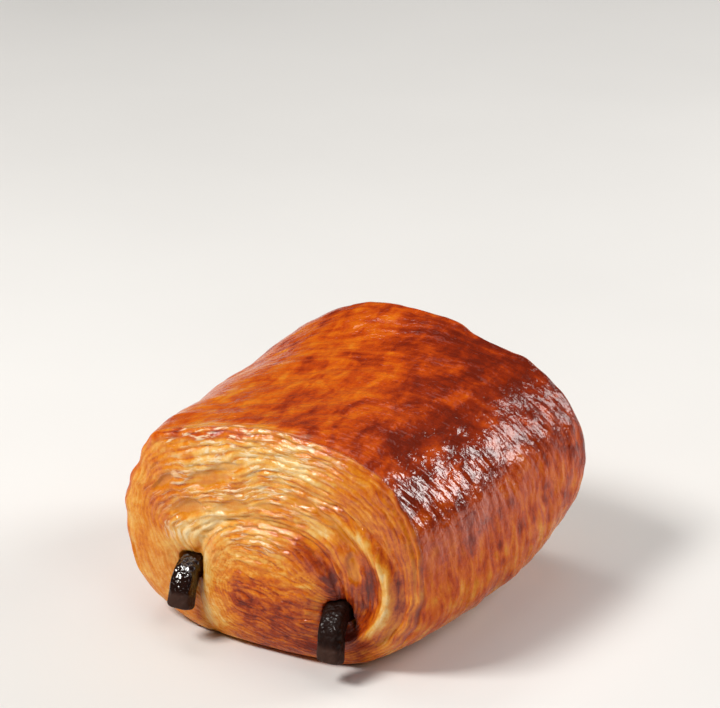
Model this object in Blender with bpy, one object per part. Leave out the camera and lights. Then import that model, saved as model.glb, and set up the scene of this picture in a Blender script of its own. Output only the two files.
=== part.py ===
"""Pain au chocolat: laminated dough rolled round two sticks of dark chocolate, and baked.

Metres, +Z up. The roll lies along Y on its flat underside, and the end that faces -Y is the one
that shows best. The origin is on the ground, in the middle of the whole object's box.
"""
import math

import bmesh
import bpy
import numpy as np

# Driving dimensions of the roll
HALF_WIDTH = 0.0400
HEIGHT = 0.0491
RIM_TO_RIM = 0.0643          # crust length, from the front rim to the back rim
END_DOME = 0.0050            # how far an end face swells out past its rim
DOME_FLATNESS = 1.39         # more keeps the middle of the dome flatter
DOME_ROUNDING = 0.44         # less turns over more sharply at the rim
END_CENTRE = (0.0026, 0.0130)  # X and Z that the turns of the roll wind round
ROLL_SHIFT = (0.0007, 0.0010)  # X and Y from the box's middle to the roll's own middle

# Outline of the crust across the roll
WIDEST_AT = 0.51             # share of the height
TOP_POWER = 2.24             # 2 is an ellipse, more is boxier
LOW_POWER = 2.99             # below the widest line, half way along
END_LOW_POWER = 2.65         # below the widest line, at the rims
SAG = 0.029                  # share of the height that the underside is pressed flat by
LEAN = -0.0020               # the top leans towards -X
TILT = 0.053                 # one side is higher than the other by this share
BARREL = 0.069               # share of the width that the rims are narrower by
CROWN = 0.021                # share of the height that the rims are higher by
BARREL_CURVE = 2.5           # more keeps both changes nearer the rims
LOW_CURVE = 3.0              # the same for the change from LOW_POWER to END_LOW_POWER
TAPER = 0.044                # the back is wider than the front by this share each way
RISE = 0.020                 # and higher by this share

# Uneven swellings of the crust: place round the roll in degrees, place along it (-1 to 1),
# height, and how far it spreads each way
SWELLINGS = {
    "back crown": (99, 0.97, 0.0025, 31, 0.36),
    "left hollow": (132, 0.48, -0.0006, 21, 0.36),
    "front left shoulder": (132, -0.87, 0.0022, 11, 0.45),
    "back right cheek": (-1, 1.06, 0.0024, 23, 0.37),
    "back right dent": (65, 1.02, -0.0019, 15, 0.33),
    "front left dent": (165, -0.86, -0.0010, 17, 0.28),
    "low right ledge": (-28, 0.10, 0.0008, 10, 0.15),
}
CRUST_WAVE = 0.0004          # soft unevenness of the crust
CRUST_WAVE_SIZE = 0.009
CRUST_WAVE_FADE = (0.001, 0.006)  # heights between which it grows from nothing to its full size
CRUST_SEED = 7

# The core turn, which stands out between the sticks
CORE_CENTRE = (0.0005, 0.0125)
CORE_HALF = (0.0158, 0.0157)
CORE_POWER = 2.5
CORE_STEP = 0.0017
CORE_EDGE = 1.04             # size of the mound's foot, as a share of CORE_HALF
CORE_FLATNESS = 3            # more keeps the top of the mound flatter
CORE_CREASE = 0.0008
CREASE_AT = 1.10             # share of CORE_HALF
CREASE_WIDTH = 0.06          # the same
CREASE_FADE = (0.008, 0.018)  # heights between which the crease grows to its full depth

# The edge of the second turn, a ridge on the +X side of each end face
WRAP_CENTRE = (0.0020, 0.0195)
WRAP_HALF = (0.0263, 0.0173)
WRAP_TURN = 10               # degrees round the end face where the ridge is highest
WRAP_SPREAD = 48             # degrees that it takes to fade out
# Height of each fold, and its place and width as shares of WRAP_HALF
WRAP_FOLDS = {
    "ridge": (0.0011, 0.985, 0.06),
    "gap outside it": (-0.0010, 1.11, 0.05),
    "hollow inside it": (-0.0013, 0.84, 0.09),
}

# Leaves of dough that show on the end faces
LEAF_PITCH = 0.090           # share of the way from the centre to the rim
LEAF_DEPTH = 0.00060
LEAF_FULL_AT = 0.034         # distance from the centre to the rim where they have their full depth
LEAF_PATCH = (0.014, 0.009)  # how far across and up the rings come and go
LEAF_DETAIL = 1.7            # how much finer the patches of strength are than those of the wandering
LEAF_SHIFT = 0.06            # share of a pitch that the rings wander by
LEAF_STRENGTH = 0.70
LEAF_VARIATION = 0.50
LEAF_SEED = 21
SIDE_SPACING = 3.0           # keeps the patterns of the two end faces apart
RELIEF_FADE = (1.0, 0.9)     # shares of the way to the rim between which the relief grows inwards

# Chocolate sticks
STICK_HALF = (0.0027, 0.0023)  # half width, half thickness
STICK_POWER = 4.0
STICK_ROUND = 0.0010         # rounding of the tips, along the stick
STICK_TIP = 0.72             # share of the section that is left at the very tip
STICK_GAP = 0.0003           # all round, between a stick and the dough
SOCKET_DEPTH = 0.0016        # the dough dips round each stick
SOCKET_SPREAD = (0.0044, 0.0052)
# Each stick's X and Z inside the roll, and how it bends at the front and at the back: the distance
# from the roll's middle where the bend starts, its radius, its droop in degrees, the stick's
# length from there, and how far it leans towards +X for each metre of that length
STICKS = {
    "chocolate_stick_left": {
        "place": (-0.0184, 0.0158),
        "front": {"start": 0.0335, "radius": 0.0065, "droop": 68, "length": 0.0116, "lean": 0.05},
        "back": {"start": 0.0335, "radius": 0.0090, "droop": 42, "length": 0.0074, "lean": -0.06},
    },
    "chocolate_stick_right": {
        "place": (0.0165, 0.0134),
        "front": {"start": 0.0340, "radius": 0.0065, "droop": 68, "length": 0.0124, "lean": 0.16},
        "back": {"start": 0.0340, "radius": 0.0090, "droop": 36, "length": 0.0062, "lean": 0.08},
    },
}

# How finely the solids are divided
COLUMNS = 80
END_RINGS = 22
CRUST_ROWS = 13
STICK_COLUMNS = 16
STICK_ROWS = 28
STICK_CROWDING = 0.45        # less puts more of the rows near the tips

DOUGH_COLOUR = (0.66, 0.27, 0.055, 1)
DOUGH_ROUGHNESS = 0.35
CHOCOLATE_COLOUR = (0.030, 0.011, 0.006, 1)
CHOCOLATE_ROUGHNESS = 0.40


def signed_power(value, exponent):
    return np.sign(value) * np.abs(value) ** exponent


def smooth_step(start, end, value):
    share = np.clip((value - start) / (end - start), 0, 1)
    return share * share * (3 - 2 * share)


def bell(value):
    return np.exp(-value * value)


def angle_apart(turn, degrees):
    """Signed angle in radians from a direction given in degrees"""
    return (turn - math.radians(degrees) + math.pi) % (2 * math.pi) - math.pi


def cell_value(cell, seed):
    """Repeatable number from -1 to 1 for each whole-number cell of a 3-D lattice"""
    cell = cell.astype(np.int64)
    mixed = cell[..., 0] * 73856093 ^ cell[..., 1] * 19349663 ^ cell[..., 2] * 83492791
    mixed = (mixed ^ (seed * 2654435)) & 0xFFFFFFFF
    mixed = ((mixed ^ (mixed >> 15)) * 2246822519) & 0xFFFFFFFF
    mixed = ((mixed ^ (mixed >> 13)) * 3266489917) & 0xFFFFFFFF
    return ((mixed ^ (mixed >> 16)) & 0xFFFF) / 32767.5 - 1


def soft_noise(points, seed):
    """Smooth value noise with features about one unit across"""
    base = np.floor(points)
    part = points - base
    part = part * part * (3 - 2 * part)
    total = 0
    for corner in np.ndindex(2, 2, 2):
        weight = np.prod(np.where(corner, part, 1 - part), axis=-1)
        total = total + weight * cell_value(base + corner, seed)
    return total


def oval(x, z, centre, half, exponent=2.0):
    """1 on the oval, less inside it and more outside"""
    across = np.abs((x - centre[0]) / half[0]) ** exponent
    up = np.abs((z - centre[1]) / half[1]) ** exponent
    return (across + up) ** (1 / exponent)


def crust_outline(turn, along):
    """X and Z of the crust at an angle round the roll and a place along it"""
    end = np.abs(along) ** BARREL_CURVE
    half = HALF_WIDTH * (1 - BARREL * end) * (1 + TAPER * along)
    high = HEIGHT * (1 + CROWN * end) * (1 + RISE * along)
    widest = WIDEST_AT * high
    low_power = LOW_POWER + (END_LOW_POWER - LOW_POWER) * np.abs(along) ** LOW_CURVE
    cos, sin = np.cos(turn), np.sin(turn)
    exponent = 2 / np.where(sin >= 0, TOP_POWER, low_power)
    x = half * signed_power(cos, exponent)
    reach = np.where(sin >= 0, high - widest, widest + SAG * high)
    z = np.maximum(widest + reach * signed_power(sin, exponent), 0)
    x = x + LEAN * np.clip(z / high, 0, 1)
    z = z * (1 + TILT * x / half)
    for degrees, place, height, spread, length in SWELLINGS.values():
        around = angle_apart(turn, degrees) / math.radians(spread)
        lift = height * bell(around) * bell((along - place) / length)
        x = x + lift * cos
        z = z + lift * sin
    return x, np.maximum(z, 0)


def crust_points(turn, along):
    """Points of the crust, with its soft unevenness"""
    x, z = crust_outline(turn, along)
    y = along * RIM_TO_RIM / 2
    wave = CRUST_WAVE * soft_noise(np.stack([x, y, z], -1) / CRUST_WAVE_SIZE, CRUST_SEED)
    wave = wave * smooth_step(*CRUST_WAVE_FADE, z)
    x = x + wave * np.cos(turn)
    z = np.maximum(z + wave * np.sin(turn), 0)
    return x, y, z


def core_relief(x, z):
    """The core stands out as a mound, with a crease along its upper edge"""
    core = oval(x, z, CORE_CENTRE, CORE_HALF, CORE_POWER)
    mound = CORE_STEP * np.sqrt(1 - np.minimum(core / CORE_EDGE, 1) ** CORE_FLATNESS)
    crease = CORE_CREASE * bell((core - CREASE_AT) / CREASE_WIDTH)
    return mound - crease * smooth_step(*CREASE_FADE, z)


def wrap_relief(x, z):
    """The second turn ends in a ridge, with a gap outside it and a hollow inside"""
    wrap = oval(x, z, WRAP_CENTRE, WRAP_HALF)
    turn = np.arctan2(z - END_CENTRE[1], x - END_CENTRE[0])
    beside = bell(angle_apart(turn, WRAP_TURN) / math.radians(WRAP_SPREAD))
    total = 0
    for height, place, width in WRAP_FOLDS.values():
        total = total + height * bell((wrap - place) / width)
    return total * beside


def leaf_relief(x, z, reach, rim_distance, side):
    """Leaf edges in rings round the centre, which come and go, and are finer where they crowd"""
    spot = np.stack([x / LEAF_PATCH[0], np.full_like(x, SIDE_SPACING * side), z / LEAF_PATCH[1]], -1)
    shift = LEAF_SHIFT * soft_noise(spot, LEAF_SEED)
    strength = LEAF_STRENGTH + LEAF_VARIATION * soft_noise(spot * LEAF_DETAIL, LEAF_SEED + 1)
    room = np.minimum(rim_distance / LEAF_FULL_AT, 1) ** 2
    return LEAF_DEPTH * room * strength * np.cos(2 * math.pi * (reach / LEAF_PITCH + shift))


def socket_relief(x, z):
    """The dough dips round each stick"""
    total = 0
    for stick in STICKS.values():
        across = (x - stick["place"][0]) / SOCKET_SPREAD[0]
        up = (z - stick["place"][1]) / SOCKET_SPREAD[1]
        total = total - SOCKET_DEPTH * bell(np.hypot(across, up))
    return total


def end_points(turn, reach, side):
    """Points of an end face, from its centre (reach 0) to the rim (reach 1)"""
    rim_x, rim_y, rim_z = crust_points(turn, side * np.ones_like(turn))
    x = END_CENTRE[0] + reach * (rim_x - END_CENTRE[0])
    z = END_CENTRE[1] + reach * (rim_z - END_CENTRE[1])
    dome = END_DOME * (1 - reach ** DOME_FLATNESS) ** DOME_ROUNDING
    rim_distance = np.hypot(rim_x - END_CENTRE[0], rim_z - END_CENTRE[1])
    relief = core_relief(x, z) + wrap_relief(x, z) + socket_relief(x, z)
    relief = relief + leaf_relief(x, z, reach, rim_distance, side)
    relief = relief * smooth_step(*RELIEF_FADE, reach)
    return x, side * (RIM_TO_RIM / 2 + dome + relief), z


def loft(name, rings, front, back, material):
    """Closed mesh through rings of points, with a fan to a point at each end"""
    count, columns = len(rings), len(rings[0])
    points = np.concatenate([np.array([front]), np.concatenate(rings), np.array([back])])
    faces = []
    for column in range(columns):
        beside = (column + 1) % columns
        faces.append((0, 1 + column, 1 + beside))
        for row in range(count - 1):
            low, high = 1 + row * columns, 1 + (row + 1) * columns
            faces.append((low + beside, low + column, high + column, high + beside))
        last = 1 + (count - 1) * columns
        faces.append((len(points) - 1, last + beside, last + column))
    mesh = bpy.data.meshes.new(name)
    mesh.from_pydata([tuple(point) for point in points], [], faces)
    shell = bmesh.new()
    shell.from_mesh(mesh)
    bmesh.ops.recalc_face_normals(shell, faces=shell.faces)
    bmesh.ops.triangulate(shell, faces=shell.faces)
    shell.to_mesh(mesh)
    shell.free()
    mesh.shade_smooth()
    mesh.materials.append(material)
    body = bpy.data.objects.new(name, mesh)
    bpy.context.collection.objects.link(body)
    return body


def placed(x, y, z):
    return np.stack([x + ROLL_SHIFT[0], y + ROLL_SHIFT[1], z], -1)


def make_pastry(material):
    """The roll as one closed solid: front face, crust and back face"""
    turn = np.linspace(0, 2 * math.pi, COLUMNS, endpoint=False)
    steps = (np.arange(END_RINGS) + 1) * LEAF_PITCH / 2
    ends = {}
    for side in (-1, 1):
        ends[side] = [placed(*end_points(turn, np.full(COLUMNS, reach), side)) for reach in steps]
    crust = []
    for along in np.linspace(-1, 1, CRUST_ROWS):
        crust.append(placed(*crust_points(turn, np.full(COLUMNS, along))))
    poles = {side: ends[side][0].mean(axis=0) for side in (-1, 1)}
    return loft("pastry", ends[-1] + crust + ends[1][::-1], poles[-1], poles[1], material)


def stick_centre(stick, side, distance):
    """A point of a stick's centre line and the angle of its droop, at a distance from the middle"""
    end = stick["front" if side < 0 else "back"]
    past = max(distance - end["start"], 0)
    bend = min(past / end["radius"], math.radians(end["droop"]))
    straight = past - end["radius"] * bend
    x = stick["place"][0] + end["lean"] * past
    y = min(distance, end["start"]) + end["radius"] * math.sin(bend) + straight * math.cos(bend)
    z = stick["place"][1] - end["radius"] * (1 - math.cos(bend)) - straight * math.sin(bend)
    return x, side * y, z, bend


def stick_rings(stick, margin, overrun):
    """Rings of a stick that runs straight through the roll and droops at both ends"""
    turn = np.linspace(0, 2 * math.pi, STICK_COLUMNS, endpoint=False)
    across = signed_power(np.cos(turn), 2 / STICK_POWER) * (STICK_HALF[0] + margin)
    up = signed_power(np.sin(turn), 2 / STICK_POWER) * (STICK_HALF[1] + margin)
    rings = []
    for share in np.linspace(-1, 1, STICK_ROWS):
        side = -1 if share < 0 else 1
        end = stick["front" if side < 0 else "back"]
        reach = end["start"] + end["length"] + overrun
        distance = reach * abs(share) ** STICK_CROWDING
        x, y, z, bend = stick_centre(stick, side, distance)
        to_tip = min((reach - distance) / STICK_ROUND, 1)
        size = STICK_TIP + (1 - STICK_TIP) * math.sqrt(1 - (1 - to_tip) ** 2)
        ring_y = y + side * size * up * math.sin(bend)
        rings.append(placed(x + size * across, ring_y, z + size * up * math.cos(bend)))
    return rings


def make_stick(name, stick, material, margin=0.0, overrun=0.0):
    rings = stick_rings(stick, margin, overrun)
    return loft(name, rings, rings[0].mean(axis=0), rings[-1].mean(axis=0), material)


def cut_channel(pastry, name, stick, material):
    """The dough is open where the stick runs, with a gap all round it"""
    cutter = make_stick(name + "_cutter", stick, material, margin=STICK_GAP, overrun=STICK_GAP)
    cutter.hide_render = True
    cutter.display_type = "WIRE"
    cut = pastry.modifiers.new(name + "_channel", "BOOLEAN")
    cut.operation = "DIFFERENCE"
    cut.solver = "EXACT"
    cut.object = cutter


def make_material(name, colour, roughness):
    material = bpy.data.materials.new(name)
    material.use_nodes = True
    shader = material.node_tree.nodes["Principled BSDF"]
    shader.inputs["Base Color"].default_value = colour
    shader.inputs["Roughness"].default_value = roughness
    shader.inputs["Metallic"].default_value = 0.0
    return material


def main():
    for old in list(bpy.data.objects):
        bpy.data.objects.remove(old)
    dough = make_material("baked_dough", DOUGH_COLOUR, DOUGH_ROUGHNESS)
    chocolate = make_material("dark_chocolate", CHOCOLATE_COLOUR, CHOCOLATE_ROUGHNESS)
    pastry = make_pastry(dough)
    for name, stick in STICKS.items():
        make_stick(name, stick, chocolate)
        cut_channel(pastry, name, stick, chocolate)


main()
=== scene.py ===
import math

import bpy
import numpy as np
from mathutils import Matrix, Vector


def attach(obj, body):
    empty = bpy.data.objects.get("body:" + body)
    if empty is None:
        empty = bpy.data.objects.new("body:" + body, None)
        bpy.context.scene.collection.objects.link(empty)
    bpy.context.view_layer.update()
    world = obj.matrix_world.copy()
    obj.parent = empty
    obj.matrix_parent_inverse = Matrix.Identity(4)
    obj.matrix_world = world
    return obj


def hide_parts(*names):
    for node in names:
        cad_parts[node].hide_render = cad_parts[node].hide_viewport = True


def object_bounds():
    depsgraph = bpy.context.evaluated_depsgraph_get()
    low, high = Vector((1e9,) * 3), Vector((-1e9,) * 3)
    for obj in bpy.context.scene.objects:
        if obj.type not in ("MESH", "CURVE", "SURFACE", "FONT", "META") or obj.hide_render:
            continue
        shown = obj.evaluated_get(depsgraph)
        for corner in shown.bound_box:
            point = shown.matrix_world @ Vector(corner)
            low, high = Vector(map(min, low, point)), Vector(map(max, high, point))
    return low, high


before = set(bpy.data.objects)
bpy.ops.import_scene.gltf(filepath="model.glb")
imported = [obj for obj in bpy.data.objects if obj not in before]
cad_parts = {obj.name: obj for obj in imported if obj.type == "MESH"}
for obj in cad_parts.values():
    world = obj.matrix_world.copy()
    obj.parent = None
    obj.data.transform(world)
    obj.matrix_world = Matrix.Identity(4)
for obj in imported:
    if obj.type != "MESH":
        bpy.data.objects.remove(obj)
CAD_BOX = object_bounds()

# Pain au chocolat. The first part of this script repeats the form of the solids from the same
# named sizes, in metres, and the rest adds the fine relief, the colours, the light and the camera.

# Driving dimensions of the roll
HALF_WIDTH = 0.0400
HEIGHT = 0.0491
RIM_TO_RIM = 0.0643
END_DOME = 0.0050
DOME_FLATNESS = 1.39
DOME_ROUNDING = 0.44
END_CENTRE = (0.0026, 0.0130)
ROLL_SHIFT = (0.0007, 0.0010)

# Outline of the crust across the roll
WIDEST_AT = 0.51
TOP_POWER = 2.24
LOW_POWER = 2.99
END_LOW_POWER = 2.65
SAG = 0.029
LEAN = -0.0020
TILT = 0.053
BARREL = 0.069
CROWN = 0.021
BARREL_CURVE = 2.5
LOW_CURVE = 3.0
TAPER = 0.044
RISE = 0.020
# Place round the roll in degrees, place along it, height, and how far each spreads both ways
SWELLINGS = {
    "back crown": (99, 0.97, 0.0025, 31, 0.36),
    "left hollow": (132, 0.48, -0.0006, 21, 0.36),
    "front left shoulder": (132, -0.87, 0.0022, 11, 0.45),
    "back right cheek": (-1, 1.06, 0.0024, 23, 0.37),
    "back right dent": (65, 1.02, -0.0019, 15, 0.33),
    "front left dent": (165, -0.86, -0.0010, 17, 0.28),
    "low right ledge": (-28, 0.10, 0.0008, 10, 0.15),
}
CRUST_WAVE = 0.0004
CRUST_WAVE_SIZE = 0.009
CRUST_WAVE_FADE = (0.001, 0.006)
CRUST_SEED = 7

# The core turn and the edge of the second turn on each end face
CORE_CENTRE = (0.0005, 0.0125)
CORE_HALF = (0.0158, 0.0157)
CORE_POWER = 2.5
CORE_STEP = 0.0017
CORE_EDGE = 1.04
CORE_FLATNESS = 3
CORE_CREASE = 0.0008
CREASE_AT = 1.10
CREASE_WIDTH = 0.06
CREASE_FADE = (0.008, 0.018)
WRAP_CENTRE = (0.0020, 0.0195)
WRAP_HALF = (0.0263, 0.0173)
WRAP_TURN = 10
WRAP_SPREAD = 48
WRAP_FOLDS = {
    "ridge": (0.0011, 0.985, 0.06),
    "gap outside it": (-0.0010, 1.11, 0.05),
    "hollow inside it": (-0.0013, 0.84, 0.09),
}
RELIEF_FADE = (1.0, 0.9)

# Chocolate sticks
STICK_HALF = (0.0027, 0.0023)
STICK_POWER = 4.0
STICK_ROUND = 0.0010
STICK_TIP = 0.72
SOCKET_DEPTH = 0.0016
SOCKET_SPREAD = (0.0044, 0.0052)
STICKS = {
    "chocolate_stick_left": {
        "place": (-0.0184, 0.0158),
        "front": {"start": 0.0335, "radius": 0.0065, "droop": 68, "length": 0.0116, "lean": 0.05},
        "back": {"start": 0.0335, "radius": 0.0090, "droop": 42, "length": 0.0074, "lean": -0.06},
    },
    "chocolate_stick_right": {
        "place": (0.0165, 0.0134),
        "front": {"start": 0.0340, "radius": 0.0065, "droop": 68, "length": 0.0124, "lean": 0.16},
        "back": {"start": 0.0340, "radius": 0.0090, "droop": 36, "length": 0.0062, "lean": 0.08},
    },
}

# How finely the surfaces are divided
COLUMNS = 600
END_RINGS = 140
CRUST_ROWS = 170
STICK_COLUMNS = 64
STICK_ROWS = 200
STICK_CROWDING = 0.45
RING_CROWDING = 1.12  # more puts more of an end face's rings near its rim

# Leaves of dough on the end faces, from the centre to the rim
LEAVES = 31
CORE_LEAVES = 13
LEAF_STEP = 0.00034  # how far one leaf stands out past the next
LEAF_RIDGE = 0.00038
LEAF_GROOVE = 0.00014
LEAF_LENGTH = 0.0028
LEAF_LEVEL = 0.4  # share of a ridge that lies below the mean surface
LEAF_FLATNESS = 0.75  # less makes the backs of the leaves flatter
LEAF_SWELL = (0.6, 0.55)  # mean height of the ridges, and how much it varies
SWELL_DETAIL = 1.5
STEP_AT = (0.7, 1.0)  # shares of a leaf between which it steps to the next
GAP_WIDTH = 0.14  # share of a leaf
GAP_DETAIL = 1.2
GAP_SHOWS = (-0.1, 0.5)
# How the leaves wander: share of a leaf, size of the waves across and up, seed
WANDERINGS = [(0.75, 0.013, 0.009, 0), (0.62, 0.006, 0.0036, 1), (0.26, 0.0024, 0.0017, 15)]
CORE_WANDER = 1.9  # how much more they do so inside the core
CORE_WANDER_FADE = (0.5, 1.05)
OUTER_NUMBERS = 40  # added to the numbers of the leaves outside the core
JOIN_AT = 1.03  # share of CORE_HALF where they meet the core's leaves
JOIN_WIDTH = 0.035
THIN_LEAVES = 3  # thin leaves in each leaf
THIN_RIDGE = 0.00008
THIN_LENGTH = 0.004
THIN_WANDER = 0.4
THIN_WANDER_SIZE = 0.003
THIN_SHARE = 0.5
THIN_BESIDE_WRAP = 0.8
THIN_FROM_WRAP = (0.9, 1.02)
THIN_FROM_CORE = (1.0, 1.1)
CORE_EYE = (-0.005, 0.0125)  # left end of the innermost turn
EYE_SLOPE = -0.17
EYE_REACH = (0.0104, 0.0165, 0.0115)  # to the core's left, upper and lower edge
ABOVE_EYE = (0.001, 0.009)
CORE_EDGE_LEAVES = (0.5, 1.0)  # shares of CORE_HALF where they turn to follow its edge
# Place up and left of the core where the leaves lie flatter, in the form of those below
FLAT_PLACE = (-17, 31, 15, 10, 15)
FLAT_HALF = (0.065, 0.0319)  # of the oval that they follow there
FULL_ROOM = 0.024  # distance to the rim where the fine relief has its full depth
FINE_FADE = (1.0, 0.982)  # shares of the way to the rim
SIDE_SEEDS = {-1: 100, 1: 300}
BACK_MIRROR = 0.002  # X and BACK_MIRROR - X are the same place of the front and the back face

# Where the leaves stand out most: X, Z, half length and half height in millimetres, tilt in
# degrees, strength
STRONG_PLACES = [
    (-12, 37, 17, 9, 20, 0.75), (6, 36, 15, 8.5, -8, 0.6), (1, 21, 13, 8, 0, 0.4),
    (20, 28, 12, 8, -60, 0.4), (-20, 27, 6, 5, 20, 0.5), (-5, 46.6, 22, 3.6, 4, 0.75),
    (-19, 24, 6, 3, 15, 0.5), (1, 26.2, 9, 2.2, -4, 0.6),
]
PLAIN_STRENGTH = 0.3
TOP_STRENGTH = 1.1
# Where the dough is smooth, in the same form
CALM_PLACES = [
    (-31, 19, 8, 17, 10, 0.75), (-24, 7, 8, 6, 0, 0.65), (-12, 32, 12, 5, 20, 0.45),
]
CALMEST = 0.85
CALM_STRENGTH = 0.6
# Where pale flakes lie on the leaves, painted as highlights on their upper edges
FLAKE_HIGHLIGHT_PLACES = [
    (-12, 37, 16, 8, 20, 0.75), (6, 37, 12, 6, -8, 0.45), (-5, 46.6, 22, 3.6, 4, 0.8),
    (-19, 24, 6, 2.6, 15, 0.8), (-2, 25.8, 7, 2, -4, 0.85),
]
FLAKE_HIGHLIGHT_GROWTH = 2.0
FLAKE_HIGHLIGHT_START = 0.4
# Lens-shaped pockets between leaves, in the same form but with a depth in millimetres
POCKETS = [
    (-14, 36.2, 5.8, 2, 20, 0.81), (-19, 28.5, 4.4, 2.1, 24, 0.81), (-8, 31.5, 4.4, 1.6, 14, 0.54),
    (-10, 39.5, 4.2, 1.1, 18, 0.45), (-25, 33, 3.6, 1.1, 42, 0.54), (18, 31, 5, 1.3, -52, 0.54),
    (20.3, 23.5, 3.6, 1.2, -78, 0.45), (8, 36.2, 4.2, 1, -8, 0.45), (1, 33.5, 3.2, 0.9, 6, 0.36),
    (13.5, 34.5, 3.4, 1, -28, 0.45), (19, 12, 2.2, 0.6, -62, 1.08),
]
POCKET_EDGE = (1.2, 0.55)
POCKET_RAGGED = (0.22, (0.0025, 0.002))
POCKET_SMOOTHNESS = 0.85
# Pale, fibrous places, and browner ones
PALE_PLACES = [
    (6, 42.8, 8, 1.6, -4, 0.9), (11.5, 32.5, 4.4, 1.4, -20, 0.9), (12.5, 39.5, 3.8, 1.5, -25, 0.8),
    (-11.5, 28.5, 7, 2.2, 22, 1), (-18.5, 23, 4.6, 2.6, 20, 1.1), (23.5, 29.5, 5, 1.3, -56, 1),
    (27.8, 21, 6.6, 1.2, -88, 1.1), (25, 11, 5, 1, 55, 0.8), (-14.5, 14, 8, 1.6, 86, 0.9),
    (-11, 5, 5, 2.8, -40, 0.8), (-11.5, 13, 10, 3.4, 84, 0.45), (-6, 20, 7, 2.6, 40, 0.35),
    (-13, 40, 9, 2.2, 20, 0.6), (-33, 24, 7, 2, 88, 0.6), (2, 30, 10, 1.2, 0, 0.6),
    (-23, 12, 6, 3, 70, 0.3), (6, 48, 14, 1.2, -4, 0.5), (-1, 43, 15, 4, 4, 0.4),
    (-22, 20, 6, 6, 60, 0.25),
]
BROWN_PLACES = [
    (3, 9.5, 12, 8.2, -8, 0.48), (-5.5, 15, 1.6, 3.2, 20, 0.16), (11, 25, 6, 2.8, -32, 0.34),
    (15.8, 19, 5, 1.6, -75, 0.38), (20.5, 17, 7.6, 3.4, 74, 0.34), (23.8, 19, 10, 1.4, 84, 0.16),
    (-16.5, 7, 5, 1.5, 80, 0.3), (-13, 46, 8, 0.7, 18, 0.22), (-27, 30, 11, 6, 60, 0.16),
    (6, 3, 16, 2.6, 0, 0.14), (30, 24, 15, 3.4, -80, 0.26), (17, 40.5, 10, 5, -30, 0.14),
    (18, 6, 6, 3, 20, 0.42),
]
PLACE_SPREAD = 1.1
PLACE_RAGGED = (0.3, (0.0035, 0.0016))

# Gap just inside the edge of the crust, with its place and width as shares of the way to the rim
LIP_DEPTH = 0.0006
LIP_AT = 0.962
LIP_WANDER = 0.008
LIP_WIDTH = 0.011
LIP_NEAR = (32, 34)  # degrees round the end face where it is widest, and their spread
LIP_SHARE = 0.9
LIP_BREAKS = (0.35, 0.8)
# Open channel round each stick: depth, and its edge as shares of the stick's section
CHANNEL_DEPTH = 0.004
CHANNEL_EDGE = (1.16, 1.05)

# Tone of the end faces, where more is browner
FACE_BAKE = 0.38
PALE_SHARE = 0.26
WRAP_PALE = (0.92, 0.99, 0.03)  # strength, place and width of the pale ridge of the second turn
WRAP_BROWN = [(0.2, 0.88, 0.07), (0.22, 1.07, 0.025)]
# Browner towards the right of the face: partly the dough's own baking, partly painted shade where
# the light falls off
RIGHT_BAKE_AND_SHADE = 0.06
RIGHT_SHADE_FROM = (0.0, 0.03)
SOCKET_BAKE = 0.5
SOCKET_EDGE = (1.6, 1.1)
SOCKET_UP_TO = (0.02, 0.01)
# Painted shade in the gaps between leaves, deepest where the relief stands out most, and painted
# light on the ridges and the thin ridges; the step term is browner dough where a leaf stands out
GAP_SHADE = 0.13
GAP_SHADE_LEAST = 0.3
STEP_BAKE = 0.09
RIDGE_LIGHT = 0.2
RIDGE_MEAN = 0.46
CALM_RIDGE_LIGHT = 0.5
THIN_RIDGE_LIGHT = 0.05
# Where the face's tone gives way to the crust's: shares of the way to the rim
TONE_EDGE = 0.984
TONE_EDGE_WANDER = 0.007
TONE_EDGE_SOFTNESS = 0.012
TONE_EDGE_DROP = 0.048  # further in along the top
TONE_EDGE_NEAR = (108, 36)
INNER_EDGE = (1.0, 0.65)
# Shine of the end faces, which is least low down, at the far left and in the core
FACE_SHINE = 0.3
FACE_SHINE_ACROSS = (-0.034, -0.02)
FACE_SHINE_UP = (0.0, 0.012)
CORE_DULLNESS = 0.7
CORE_DULL_SIZE = 0.8

# Fine relief of the crust
RIM_CRIMP = 0.00042  # unevenness of its edges
RIM_CRIMP_SIZE = 0.0032
RIM_CRIMP_FROM = (0.84, 1.0)  # along the roll
RIM_CRIMP_INWARDS = (0.8, 0.99)  # shares of the way to the rim of an end face
WRINKLE_LONG = 0.005  # round the roll
WRINKLE_SHORT = 0.0018  # along the roll
WRINKLE_SLANT = 0.2
WRINKLE_BEND = 0.0012
WRINKLE_BEND_SIZE = (0.008, 0.006)
WRINKLE_DEPTH = 0.00044
WRINKLED_NEAR = (30, 42)  # degrees from +X over the top where it is most so, and their spread
CALM_SHARE = 0.35  # what is left of it elsewhere
DIMPLE_SIZE = (0.005, 0.0035)
DIMPLE_DEPTH = 0.00022
CRUST_FINE_FADE = (0.0012, 0.006)  # heights
BEND_SEED, WRINKLE_SEED, DIMPLE_SEED, BLOTCH_SEED = 41, 42, 46, 51

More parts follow.
